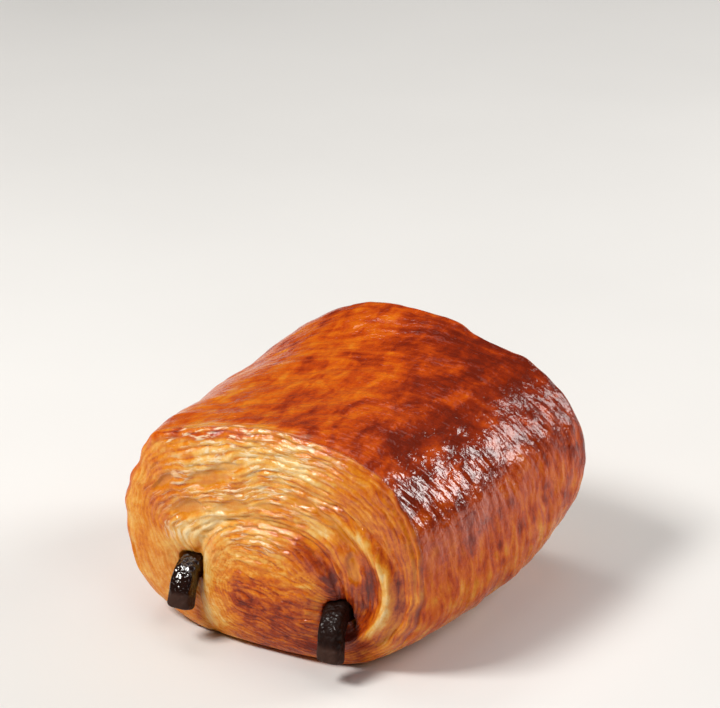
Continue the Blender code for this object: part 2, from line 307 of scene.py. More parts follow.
# How well baked the crust is: angle in degrees from +X over the top, share
BAKE_ROUND = [
    (-90, 0.34), (-50, 0.28), (-28, 0.35), (-8, 0.5), (12, 0.62), (32, 0.8), (58, 0.82),
    (78, 0.64), (105, 0.47), (135, 0.44), (170, 0.42), (205, 0.36), (235, 0.28), (270, 0.34),
]
BLOTCH_SIZE = (0.0085, 0.0065)
BLOTCH_SHARE = 0.16
PALE_FOOT = 0.2  # the lowest strip is paler, but not the underside itself
FOOT_UP_TO = (0.0035, 0.0)
FOOT_FROM = (0.0, 0.001)
PALE_RIM = 0.26  # so is the front edge along the top
PALE_RIM_ALONG = (-0.88, -0.98)
PALE_RIM_NEAR = (100, 30)
BACK_BAKE = 0.1  # and the back of the top is browner
BACK_ALONG = (0.0, 0.9)
BACK_FROM = (0.022, 0.032)
# Pale flakes along the front edge of the top: painted highlights where the rim rolls over
RIM_FLAKE_HIGHLIGHT = 0.8
RIM_FLAKE_HIGHLIGHT_ALONG = (-0.9, -0.98)
RIM_FLAKE_HIGHLIGHT_NEAR = (98, 16)
# Shine of the crust, which grows between two heights and is less far back and to the left
SHINE_FROM = (0.02, 0.034)
SHINE_LATER = (0.008, 0.005)  # added to these heights at the back
FURTHER = (-0.6, 0.7)
BACK_DULLNESS = 0.6
LEFT_SHINE = 0.45
LEFT_FROM = (85, 140)

# Fine relief of the chocolate
PIT_SIZE = 0.0011
PIT_DEPTH = 0.00018
PITS_ACROSS = (2.4, 2.2)
STICK_SEED = 500
STICK_SEED_STEP = 20
WETNESS = {"chocolate_stick_left": 1.0, "chocolate_stick_right": 0.12}

# How the skin is laid flat, in shares of a square
UPPER_PART = (70, 290)  # degrees round the roll from its lowest line
UPPER_BAND = (0.36, 0.48)  # where this part starts, and its height
UNDER_BAND = (0.86, 0.13)
BAND_MARGIN = 0.005
FACE_SPOTS = (0.25, 0.75)  # where the middles of the front and the back face lie
FACE_BASE = 0.01
FACE_SCALE = 5.8  # for each metre

# Camera: the photo's viewing angle
PICTURE_WIDTH = 720
PICTURE_HEIGHT = 708
SENSOR_WIDTH = 36.0
LENS = 160.4
CAMERA_AZIMUTH = 29.08
CAMERA_ELEVATION = 24.87
CAMERA_DISTANCE = 0.6875
AIM_HEIGHT = 0.025
AIM_PIXEL = (350.5, 479.5)  # where the aim point shows in the picture
AIM_ROUNDS = 6
CLIP_RANGE = (0.01, 10)

# Lights: azimuth, elevation, distance, width, height, power, colour
LIGHTS = {
    "key": (-36, 50, 0.85, 0.27, 0.22, 6.5, (1.0, 0.97, 0.93)),
    "window": (141, 25, 0.8, 0.34, 0.34, 3.9, (1.0, 0.98, 0.96)),
    "overhead": (215, 78, 0.9, 0.7, 0.7, 1.6, (1.0, 0.98, 0.95)),
    "fill": (60, 40, 1.1, 0.5, 0.4, 1.2, (1.0, 1.0, 1.0)),
    "edge": (250, 60, 0.8, 0.26, 0.2, 0.9, (1.0, 0.98, 0.95)),
}
WORLD_COLOUR = (0.95, 0.97, 1.0, 1)
WORLD_STRENGTH = 0.045
FLOOR_HALF = 3.0
FLOOR_DROP = 0.0001

CAD_LOW = np.array(CAD_BOX[0])
CAD_HIGH = np.array(CAD_BOX[1])


def signed_power(value, exponent):
    return np.sign(value) * np.abs(value) ** exponent


def smooth_step(start, end, value):
    share = np.clip((value - start) / (end - start), 0, 1)
    return share * share * (3 - 2 * share)


def bell(value):
    return np.exp(-value * value)


def mix(first, second, share):
    return first + (second - first) * share


def angle_apart(turn, degrees):
    """Signed angle in radians from a direction given in degrees"""
    return (turn - math.radians(degrees) + math.pi) % (2 * math.pi) - math.pi


def near(turn, degrees, spread):
    """1 in a direction, fading out on both sides of it"""
    return bell(angle_apart(turn, degrees) / math.radians(spread))


def cell_value(cell, seed):
    """Repeatable number from -1 to 1 for each whole-number cell of a 3-D lattice"""
    mixed = cell[0] * 73856093 ^ cell[1] * 19349663 ^ cell[2] * 83492791
    mixed = (mixed ^ (seed * 2654435)) & 0xFFFFFFFF
    mixed = ((mixed ^ (mixed >> 15)) * 2246822519) & 0xFFFFFFFF
    mixed = ((mixed ^ (mixed >> 13)) * 3266489917) & 0xFFFFFFFF
    return ((mixed ^ (mixed >> 16)) & 0xFFFF) / 32767.5 - 1


def noise(x, y, z, seed):
    """Smooth value noise with features about one unit across"""
    parts, bases = [], []
    for value in (x, y, z):
        base = np.floor(value)
        part = value - base
        parts.append(part * part * (3 - 2 * part))
        bases.append(base.astype(np.int64))
    total = 0
    for corner in np.ndindex(2, 2, 2):
        weight = 1
        for part, high in zip(parts, corner):
            weight = weight * (part if high else 1 - part)
        cell = [base + high for base, high in zip(bases, corner)]
        total = total + weight * cell_value(cell, seed)
    return total


def rough_noise(x, y, z, seed, octaves):
    """Noise with finer noise added on it"""
    total, size = 0, 1.0
    for octave in range(octaves):
        total = total + size * noise(x / size, y / size, z / size, seed + octave)
        size = size / 2
    return total / 1.6


def flat_noise(x, z, size, seed):
    """Noise on a flat surface, with features of a size in each direction"""
    return noise(x / size[0], 0 * x + 0.5, z / size[1], seed)


def round_noise(angle, detail, layer, seed):
    """Noise round a circle"""
    return noise(np.cos(angle) * detail, np.sin(angle) * detail, 0 * angle + layer, seed)


def oval(x, z, centre, half, exponent=2.0):
    """1 on the oval, less inside it and more outside"""
    across = np.abs((x - centre[0]) / half[0]) ** exponent
    up = np.abs((z - centre[1]) / half[1]) ** exponent
    return (across + up) ** (1 / exponent)


def tilted_oval(x, z, place):
    """The same for a place given as X, Z, half length, half height and tilt"""
    x, z = x - place[0] / 1000, z - place[1] / 1000
    cos, sin = math.cos(math.radians(place[4])), math.sin(math.radians(place[4]))
    along = (x * cos + z * sin) / (place[2] / 1000)
    across = (z * cos - x * sin) / (place[3] / 1000)
    return np.hypot(along, across)


def crust_outline(turn, along):
    """X and Z of the crust at an angle round the roll and a place along it"""
    end = np.abs(along) ** BARREL_CURVE
    half = HALF_WIDTH * (1 - BARREL * end) * (1 + TAPER * along)
    high = HEIGHT * (1 + CROWN * end) * (1 + RISE * along)
    widest = WIDEST_AT * high
    low_power = LOW_POWER + (END_LOW_POWER - LOW_POWER) * np.abs(along) ** LOW_CURVE
    cos, sin = np.cos(turn), np.sin(turn)
    exponent = 2 / np.where(sin >= 0, TOP_POWER, low_power)
    x = half * signed_power(cos, exponent)
    reach = np.where(sin >= 0, high - widest, widest + SAG * high)
    z = np.maximum(widest + reach * signed_power(sin, exponent), 0)
    x = x + LEAN * np.clip(z / high, 0, 1)
    z = z * (1 + TILT * x / half)
    for degrees, place, height, spread, length in SWELLINGS.values():
        lift = height * near(turn, degrees, spread) * bell((along - place) / length)
        x = x + lift * cos
        z = z + lift * sin
    return x, np.maximum(z, 0)


def crust_points(turn, along, crimped=1):
    """Points of the crust, with its soft unevenness and the crimps near its rims"""
    x, z = crust_outline(turn, along)
    y = along * RIM_TO_RIM / 2
    wave_at = [value / CRUST_WAVE_SIZE for value in (x, y, z)]
    crimp_at = [value / RIM_CRIMP_SIZE for value in (x, y, z)]
    crimped = crimped * smooth_step(*RIM_CRIMP_FROM, np.abs(along))
    wave = CRUST_WAVE * noise(*wave_at, CRUST_SEED)
    wave = wave + RIM_CRIMP * crimped * noise(*crimp_at, CRUST_SEED + 1)
    wave = wave * smooth_step(*CRUST_WAVE_FADE, z)
    x = x + wave * np.cos(turn)
    z = np.maximum(z + wave * np.sin(turn), 0)
    return x, y, z


def core_oval(x, z):
    return oval(x, z, CORE_CENTRE, CORE_HALF, CORE_POWER)


def core_relief(x, z):
    """The core stands out as a mound, with a crease along its upper edge"""
    core = core_oval(x, z)
    mound = CORE_STEP * np.sqrt(1 - np.minimum(core / CORE_EDGE, 1) ** CORE_FLATNESS)
    crease = CORE_CREASE * bell((core - CREASE_AT) / CREASE_WIDTH)
    return mound - crease * smooth_step(*CREASE_FADE, z)


def beside_wrap(x, z):
    """1 where the edge of the second turn shows most"""
    turn = np.arctan2(z - END_CENTRE[1], x - END_CENTRE[0])
    return near(turn, WRAP_TURN, WRAP_SPREAD)


def wrap_relief(x, z):
    """The second turn ends in a ridge, with a gap outside it and a hollow inside"""
    wrap = oval(x, z, WRAP_CENTRE, WRAP_HALF)
    total = 0
    for height, place, width in WRAP_FOLDS.values():
        total = total + height * bell((wrap - place) / width)
    return total * beside_wrap(x, z)


def socket_relief(x, z):
    """The dough dips round each stick"""
    total = 0
    for stick in STICKS.values():
        across = (x - stick["place"][0]) / SOCKET_SPREAD[0]
        up = (z - stick["place"][1]) / SOCKET_SPREAD[1]
        total = total - SOCKET_DEPTH * bell(np.hypot(across, up))
    return total


def core_arcs(x, z):
    """0 on a sloping line from the eye of the core to the right, with arcs round its left end"""
    beyond = np.minimum(x - CORE_EYE[0], 0) / EYE_REACH[0]
    off = z - CORE_EYE[1] - EYE_SLOPE * (x - CORE_EYE[0])
    off = off / np.where(off > 0, EYE_REACH[1], EYE_REACH[2])
    return np.hypot(beyond, off)


def leaf_phase(x, z, reach, seed):
    """Which leaf of dough shows at a place: whole numbers are the gaps between two leaves"""
    wander = 0
    for share, across, up, number in WANDERINGS:
        wander = wander + share * flat_noise(x, z, (across, up), seed + number)
    core = core_oval(x, z)
    wander = wander * mix(CORE_WANDER, 1, smooth_step(*CORE_WANDER_FADE, core))
    above = smooth_step(*ABOVE_EYE, z - CORE_CENTRE[1])
    near_edge = smooth_step(*CORE_EDGE_LEAVES, core) * above
    inner = CORE_LEAVES * mix(core_arcs(x, z), core, near_edge)
    flatter = bell(tilted_oval(x, z, FLAT_PLACE) ** 2)
    outer = LEAVES * mix(reach, oval(x, z, END_CENTRE, FLAT_HALF), flatter) + OUTER_NUMBERS
    return np.where(core < JOIN_AT, inner, outer) + wander


def leaf_pattern(phase, x, z, length, seed):
    """Ridge of each leaf, how far it stands out, and the gaps between leaves"""
    rank = np.floor(phase) * 3
    part = phase - np.floor(phase)
    across, up = x / length, z / length
    step = mix(noise(rank, across, up, seed + 2), noise(rank + 3, across, up, seed + 2),
               smooth_step(*STEP_AT, part))
    swell = noise(rank, across * SWELL_DETAIL, up * SWELL_DETAIL, seed + 3)
    swell = LEAF_SWELL[0] + LEAF_SWELL[1] * swell
    ridge = np.sin(math.pi * part) ** LEAF_FLATNESS * swell
    nearest = np.round(phase) * 3
    slit = noise(nearest, across * GAP_DETAIL, up * GAP_DETAIL, seed + 4)
    gap = smooth_step(*GAP_SHOWS, slit) * bell((part - np.round(part)) / GAP_WIDTH)
    return ridge, step, gap


def pocket_pattern(x, z, seed):
    """Depth of the pockets between leaves, and how far inside one a place is"""
    depth, inside = 0, 0
    share, size = POCKET_RAGGED
    ragged = share * flat_noise(x, z, size, seed + 6)
    for place in POCKETS:
        shape = smooth_step(*POCKET_EDGE, tilted_oval(x, z, place) + ragged)
        depth = depth + place[5] / 1000 * shape
        inside = np.maximum(inside, shape)
    return depth, inside


def places_pattern(x, z, places, seed):
    """Strength of a list of places, each with a ragged edge"""
    share, size = PLACE_RAGGED
    ragged = share * flat_noise(x, z, size, seed)
    total = 0
    for place in places:
        away = np.maximum(tilted_oval(x, z, place) + ragged, 0)
        total = total + place[5] * bell(away / PLACE_SPREAD)
    return total


def stick_sections(x, y, z, side):
    """Distance from the nearest stick's section, as a share of that section, on an end face"""
    nearest = np.full_like(x, np.inf)
    for stick in STICKS.values():
        end = stick["front" if side < 0 else "back"]
        past = np.maximum(np.abs(y) - end["start"], 0)
        bend = np.minimum(past / end["radius"], 1.0)
        centre_x = stick["place"][0] + end["lean"] * past
        centre_z = stick["place"][1] - end["radius"] * (1 - np.sqrt(1 - bend ** 2))
        section = oval(x, z, (centre_x, centre_z), STICK_HALF, STICK_POWER)
        nearest = np.minimum(nearest, section)
    return nearest


def rim_lip(angle, reach, seed):
    """A gap just inside the edge of the crust, on the right and here and there above"""
    broken = smooth_step(*LIP_BREAKS, round_noise(angle, 5, 0.5, seed))
    share = np.clip(LIP_SHARE * near(angle, *LIP_NEAR) + broken, 0, 1)
    place = LIP_AT + LIP_WANDER * round_noise(angle, 3, 1.5, seed)
    return share * bell((reach - place) / LIP_WIDTH)


def face_leaves(own_x, x, z, reach, room, seed):
    """Patterns of the leaves on an end face, and the fine relief that they give it"""
    core = core_oval(x, z)
    wrap = oval(x, z, WRAP_CENTRE, WRAP_HALF)
    phase = leaf_phase(x, z, reach, seed)
    ridge, step, gap = leaf_pattern(phase, x, z, LEAF_LENGTH, seed)
    thin_wander = flat_noise(x, z, (THIN_WANDER_SIZE, THIN_WANDER_SIZE), seed + 7)
    thin_phase = phase * THIN_LEAVES + THIN_WANDER * thin_wander
    thin, thin_step = leaf_pattern(thin_phase, x, z, THIN_LENGTH, seed + 20)[:2]
    lined = 1 - np.clip(places_pattern(own_x, z, CALM_PLACES, seed + 16), 0, CALMEST)
    strength = PLAIN_STRENGTH + places_pattern(own_x, z, STRONG_PLACES, seed + 13)
    strength = np.clip(strength, 0, TOP_STRENGTH) * room * mix(CALM_STRENGTH, 1, lined)
    depth, pocket = pocket_pattern(own_x, z, seed)

    leaves = LEAF_STEP * step + LEAF_RIDGE * (ridge - LEAF_LEVEL) - LEAF_GROOVE * gap
    join = 1 - bell((core - JOIN_AT) / JOIN_WIDTH)
    fine = leaves * strength * join * (1 - POCKET_SMOOTHNESS * pocket) - depth
    thin_beside = THIN_BESIDE_WRAP * smooth_step(*THIN_FROM_WRAP, wrap) * beside_wrap(x, z)
    thin_share = (THIN_SHARE + thin_beside) * smooth_step(*THIN_FROM_CORE, core) * lined
    fine = fine + THIN_RIDGE * (thin + thin_step) * thin_share * room * (1 - pocket)

    # Tone of the leaves: browner where a leaf stands out, painted shade in the gaps and painted
    # light on the ridges
    bake = GAP_SHADE * gap * (GAP_SHADE_LEAST + strength) * lined + STEP_BAKE * step
    bake = bake - RIDGE_LIGHT * (ridge - RIDGE_MEAN) * mix(CALM_RIDGE_LIGHT, 1, lined)
    bake = bake - THIN_RIDGE_LIGHT * thin * lined
    return phase, fine, bake, pocket


def face_bake(own_x, x, z, section, seed):
    """Tone of an end face apart from its leaves"""
    wrap = oval(x, z, WRAP_CENTRE, WRAP_HALF)
    strength, place, width = WRAP_PALE
    pale = places_pattern(own_x, z, PALE_PLACES, seed + 11)
    pale = pale + strength * beside_wrap(x, z) * bell((wrap - place) / width)
    brown = places_pattern(own_x, z, BROWN_PLACES, seed + 12)
    for strength, place, width in WRAP_BROWN:
        brown = brown + strength * beside_wrap(x, z) * bell((wrap - place) / width)
    # Darker to the right: browner dough with painted shade
    right = RIGHT_BAKE_AND_SHADE * smooth_step(*RIGHT_SHADE_FROM, x)
    socket = smooth_step(*SOCKET_EDGE, section) * smooth_step(*SOCKET_UP_TO, z)
    return FACE_BAKE + brown - PALE_SHARE * pale + right + SOCKET_BAKE * socket


def end_surface(turn, reach, side):
    """Points and patterns of an end face, from its centre to the rim"""
    seed = SIDE_SEEDS[side]
    crimped = smooth_step(*RIM_CRIMP_INWARDS, reach)
    rim_x, _, rim_z = crust_points(turn, side * np.ones_like(turn), crimped)
    x = END_CENTRE[0] + reach * (rim_x - END_CENTRE[0])
    z = END_CENTRE[1] + reach * (rim_z - END_CENTRE[1])
    own_x = x if side < 0 else BACK_MIRROR - x
    angle = np.arctan2(z - END_CENTRE[1], x - END_CENTRE[0])
    rim_distance = np.hypot(rim_x - END_CENTRE[0], rim_z - END_CENTRE[1])
    room = np.clip(rim_distance / FULL_ROOM, 0, 1)
    phase, fine, leaf_tone_and_light, pocket = face_leaves(own_x, x, z, reach, room, seed)

    form = core_relief(x, z) + wrap_relief(x, z) + socket_relief(x, z)
    dome = END_DOME * (1 - np.minimum(reach, 1) ** DOME_FLATNESS) ** DOME_ROUNDING
    out = dome + form * smooth_step(*RELIEF_FADE, reach) + fine * smooth_step(*FINE_FADE, reach)
    out = out - LIP_DEPTH * rim_lip(angle, reach, seed + 10) * room
    section = stick_sections(x, side * (RIM_TO_RIM / 2 + out), z, side)
    out = out - CHANNEL_DEPTH * smooth_step(*CHANNEL_EDGE, section)
    y = side * (RIM_TO_RIM / 2 + out)

    core = core_oval(x, z)
    edge_at = TONE_EDGE - TONE_EDGE_DROP * near(angle, *TONE_EDGE_NEAR)
    edge_at = edge_at + TONE_EDGE_WANDER * round_noise(angle, 9, 0.5, seed + 14)
    # Pale flakes here are painted highlights on the leaf edges
    flaky_highlight = places_pattern(own_x, z, FLAKE_HIGHLIGHT_PLACES, seed + 13)
    shine = smooth_step(*FACE_SHINE_ACROSS, x) * smooth_step(*FACE_SHINE_UP, z)
    patterns = {
        "face": smooth_step(edge_at + TONE_EDGE_SOFTNESS, edge_at - TONE_EDGE_SOFTNESS, reach),
        # The leaves' tone here carries their painted light and shade
        "bake": face_bake(own_x, x, z, section, seed) + leaf_tone_and_light,
        "pocket": pocket,
        "inner": smooth_step(*INNER_EDGE, core),
        "flaky_highlight": np.clip(FLAKE_HIGHLIGHT_GROWTH * flaky_highlight - FLAKE_HIGHLIGHT_START, 0, 1) * (1 - pocket),
        "shine": mix(FACE_SHINE, 1, shine) * (1 - CORE_DULLNESS * bell(core / CORE_DULL_SIZE)),
    }
    return x, y, z, patterns, (phase * THIN_LEAVES, x / THIN_LENGTH, z / THIN_LENGTH)


def crust_surface(turn, along):
    """Points and patterns of the crust between the rims"""
    x, y, z = crust_points(turn, along)
    arc = arc_length(x, z)
    flat = 0 * x + 0.5
    bend_at = (arc / WRINKLE_BEND_SIZE[0], y / WRINKLE_BEND_SIZE[1], flat)
    bend = WRINKLE_BEND * noise(*bend_at, BEND_SEED)
    long, short = arc / WRINKLE_LONG, (y + WRINKLE_SLANT * arc + bend) / WRINKLE_SHORT
    wrinkle = rough_noise(long, short, flat, WRINKLE_SEED, 2)
    wrinkle = wrinkle * mix(CALM_SHARE, 1, near(turn, *WRINKLED_NEAR))
    dimple = noise(arc / DIMPLE_SIZE[0], y / DIMPLE_SIZE[1], flat, DIMPLE_SEED)
    fine = WRINKLE_DEPTH * wrinkle + DIMPLE_DEPTH * dimple
    fine = fine * smooth_step(*CRUST_FINE_FADE, z)
    x = x + fine * np.cos(turn)
    z = np.maximum(z + fine * np.sin(turn), 0)

    blotch = rough_noise(arc / BLOTCH_SIZE[0], y / BLOTCH_SIZE[1], flat, BLOTCH_SEED, 3)
    degrees, shares = np.array(BAKE_ROUND).T
    bake = np.interp(np.degrees(turn), degrees, shares) + BLOTCH_SHARE * blotch
    bake = bake - PALE_FOOT * smooth_step(*FOOT_UP_TO, z) * smooth_step(*FOOT_FROM, z)
    bake = bake - PALE_RIM * smooth_step(*PALE_RIM_ALONG, along) * near(turn, *PALE_RIM_NEAR)
    bake = bake + BACK_BAKE * smooth_step(*BACK_ALONG, along) * smooth_step(*BACK_FROM, z)
    further = smooth_step(*FURTHER, along)
    low = SHINE_FROM[0] + SHINE_LATER[0] * further
    high = SHINE_FROM[1] + SHINE_LATER[1] * further
    duller = mix(1, LEFT_SHINE, smooth_step(*LEFT_FROM, np.degrees(turn)))
    # Painted highlights, as pale flakes, along the front edge of the top
    flaky_highlight = smooth_step(*RIM_FLAKE_HIGHLIGHT_ALONG, along) * near(turn, *RIM_FLAKE_HIGHLIGHT_NEAR)
    zero = np.zeros_like(x)
    patterns = {
        **dict.fromkeys(("face", "pocket", "inner"), zero),
        "bake": bake,
        "flaky_highlight": RIM_FLAKE_HIGHLIGHT * flaky_highlight,
        "shine": smooth_step(low, high, z) * (1 - BACK_DULLNESS * further) * duller,
    }
    return x, y, z, patterns, (long, short, zero)


def arc_length(x, z):
    """Length round the roll along each row, from the lowest point of the underside"""
    step = np.hypot(np.diff(x, axis=1, append=x[:, :1]), np.diff(z, axis=1, append=z[:, :1]))
    return np.cumsum(step, axis=1) - step


def placed(x, y, z):
    """Points in the shared frame, held inside the box of the solids"""
    points = np.stack([x + ROLL_SHIFT[0], y + ROLL_SHIFT[1], z], -1)
    return np.clip(points, CAD_LOW, CAD_HIGH)


def add_object(name, data):
    body = bpy.data.objects.new(name, data)
    bpy.context.scene.collection.objects.link(body)
    return body


def closed_mesh(name, rings):
    """Closed mesh through rings of points, with a fan to the middle of the ring at each end"""
    rows, columns = rings.shape[:2]
    poles = np.array([rings[0].mean(axis=0), rings[-1].mean(axis=0)])
    points = np.concatenate([rings.reshape(-1, 3), poles])
    row = np.arange(rows - 1)[:, None] * columns
    column = np.arange(columns)
    beside = (column + 1) % columns
    next_row = row + columns
    quads = np.stack([row + beside, row + column, next_row + column, next_row + beside], -1)
    last = (rows - 1) * columns
    front = np.stack([np.full(columns, rows * columns), column, beside], -1)
    back = np.stack([np.full(columns, rows * columns + 1), last + beside, last + column], -1)
    corners = np.concatenate([quads.ravel(), front.ravel(), back.ravel()])
    sizes = np.concatenate([np.full(quads.size // 4, 4), np.full(2 * columns, 3)])
    mesh = bpy.data.meshes.new(name)
    mesh.vertices.add(len(points))
    mesh.vertices.foreach_set("co", points.astype(np.float32).ravel())
    mesh.loops.add(len(corners))
    mesh.loops.foreach_set("vertex_index", corners.astype(np.int32))
    mesh.polygons.add(len(sizes))
    mesh.polygons.foreach_set("loop_start", (np.cumsum(sizes) - sizes).astype(np.int32))
    mesh.update(calc_edges=True)
    mesh.validate()
    mesh.shade_smooth()
    return add_object(name, mesh)


def store(mesh, name, values):
    """One number or vector for each point of a mesh, with the mean of a ring at each pole"""
    vectors = values.ndim == 3
    flat = values.reshape(-1, 3) if vectors else values.ravel()
    poles = np.array([values[0].mean(axis=0), values[-1].mean(axis=0)])
    data = np.concatenate([flat, poles]).astype(np.float32).ravel()
    layer = mesh.attributes.new(name, "FLOAT_VECTOR" if vectors else "FLOAT", "POINT")
    layer.data.foreach_set("vector" if vectors else "value", data)


def make_pastry():
    """The skin of the roll: front face, crust and back face"""
    turn = np.linspace(0, 2 * math.pi, COLUMNS, endpoint=False) - math.pi / 2
    steps = (np.arange(END_RINGS) + 1) / (END_RINGS + 1)
    steps = 1 - (1 - steps) ** RING_CROWDING
    parts = []
    for side in (-1, 1):
        reach, around = np.meshgrid(steps if side < 0 else steps[::-1], turn, indexing="ij")
        parts.append(end_surface(around, reach, side))
    along, around = np.meshgrid(np.linspace(-1, 1, CRUST_ROWS), turn, indexing="ij")
    parts.insert(1, crust_surface(around, along))
    rings = np.concatenate([placed(*part[:3]) for part in parts])
    body = closed_mesh("pastry_skin", rings)
    for name in parts[0][3]:
        store(body.data, name, np.concatenate([part[3][name] for part in parts]))
    store(body.data, "grain", np.concatenate([np.stack(part[4], -1) for part in parts]))
    lay_flat(body.data, rings)
    return body


def lay_flat(mesh, rings):
    """Lays the skin flat without overlaps: end faces, upper part of the crust, and underside"""
    rows, columns = rings.shape[:2]
    first, last = [int(columns * degrees / 360) for degrees in UPPER_PART]
    row, column = np.meshgrid(np.arange(rows - 1), np.arange(columns), indexing="ij")
    on_top = (column >= first) & (column < last)
    from_edge = np.where(on_top, column - first, (column - last) % columns)
    width = np.where(on_top, last - first, columns - last + first)
    low = np.where(on_top, UPPER_BAND[0], UNDER_BAND[0])
    tall = np.where(on_top, UPPER_BAND[1], UNDER_BAND[1])
    on_front = row < END_RINGS
    on_face = on_front | (row >= END_RINGS + CRUST_ROWS - 1)
    spot = np.where(on_front, *FACE_SPOTS)
    corners = []
    for row_step, column_step in ((0, 1), (0, 0), (1, 0), (1, 1)):
        across = BAND_MARGIN + (1 - 2 * BAND_MARGIN) * (from_edge + column_step) / width
        up = low + tall * (row + row_step - END_RINGS) / (CRUST_ROWS - 1)
        point = rings[row + row_step, (column + column_step) % columns]
        across = np.where(on_face, spot + point[..., 0] * FACE_SCALE, across)
        up = np.where(on_face, FACE_BASE + point[..., 2] * FACE_SCALE, up)
        corners.append(np.stack([across, up], -1))
    flat = [np.stack(corners, 2).reshape(-1, 2)]
    for ring, spot in zip((rings[0], rings[-1]), FACE_SPOTS):
        pole = np.tile(ring.mean(axis=0), (columns, 1))
        beside = np.roll(ring, -1, axis=0)
        corners = (pole, ring, beside) if spot == FACE_SPOTS[0] else (pole, beside, ring)
        points = np.stack(corners, 1)[..., (0, 2)] * FACE_SCALE + (spot, FACE_BASE)
        flat.append(points.reshape(-1, 2))
    layer = mesh.uv_layers.new(name="OFBake")
    layer.data.foreach_set("uv", np.concatenate(flat).astype(np.float32).ravel())


def stick_centre(stick, side, distance):
    """A point of a stick's centre line and the angle of its droop, at a distance from the middle"""
    end = stick["front" if side < 0 else "back"]
    past = max(distance - end["start"], 0)
    bend = min(past / end["radius"], math.radians(end["droop"]))
    straight = past - end["radius"] * bend
    x = stick["place"][0] + end["lean"] * past
    y = min(distance, end["start"]) + end["radius"] * math.sin(bend) + straight * math.cos(bend)
    z = stick["place"][1] - end["radius"] * (1 - math.cos(bend)) - straight * math.sin(bend)
    return x, side * y, z, bend


def make_stick(node, stick, seed, wet):
    """A chocolate stick with soft pits, wet where it has melted, and a worn end"""
    turn = np.linspace(0, 2 * math.pi, STICK_COLUMNS, endpoint=False)
    across = signed_power(np.cos(turn), 2 / STICK_POWER)
    up = signed_power(np.sin(turn), 2 / STICK_POWER)
    rings, tips = [], []
    for share in np.linspace(-1, 1, STICK_ROWS):
        side = -1 if share < 0 else 1
        end = stick["front" if side < 0 else "back"]
        reach = end["start"] + end["length"]
        distance = reach * abs(share) ** STICK_CROWDING
        x, y, z, bend = stick_centre(stick, side, distance)
        to_tip = min((reach - distance) / STICK_ROUND, 1)
        size = STICK_TIP + (1 - STICK_TIP) * math.sqrt(1 - (1 - to_tip) ** 2)
        along = 0 * turn + side * distance / PIT_SIZE
        pit = rough_noise(across * PITS_ACROSS[0], along, up * PITS_ACROSS[1], seed, 2)
        shrink = size - (PIT_DEPTH / STICK_HALF[1]) * (0.5 + 0.5 * pit)
        wide, thick = across * STICK_HALF[0] * shrink, up * STICK_HALF[1] * shrink
        ring_y = y + side * thick * math.sin(bend)
        rings.append(placed(x + wide, ring_y, z + thick * math.cos(bend)))
        tips.append(np.full(STICK_COLUMNS, reach - distance))
    body = closed_mesh(node + "_skin", np.array(rings))
    store(body.data, "to_tip", np.array(tips))
    store(body.data, "wet", np.full((STICK_ROWS, STICK_COLUMNS), wet))
    return body


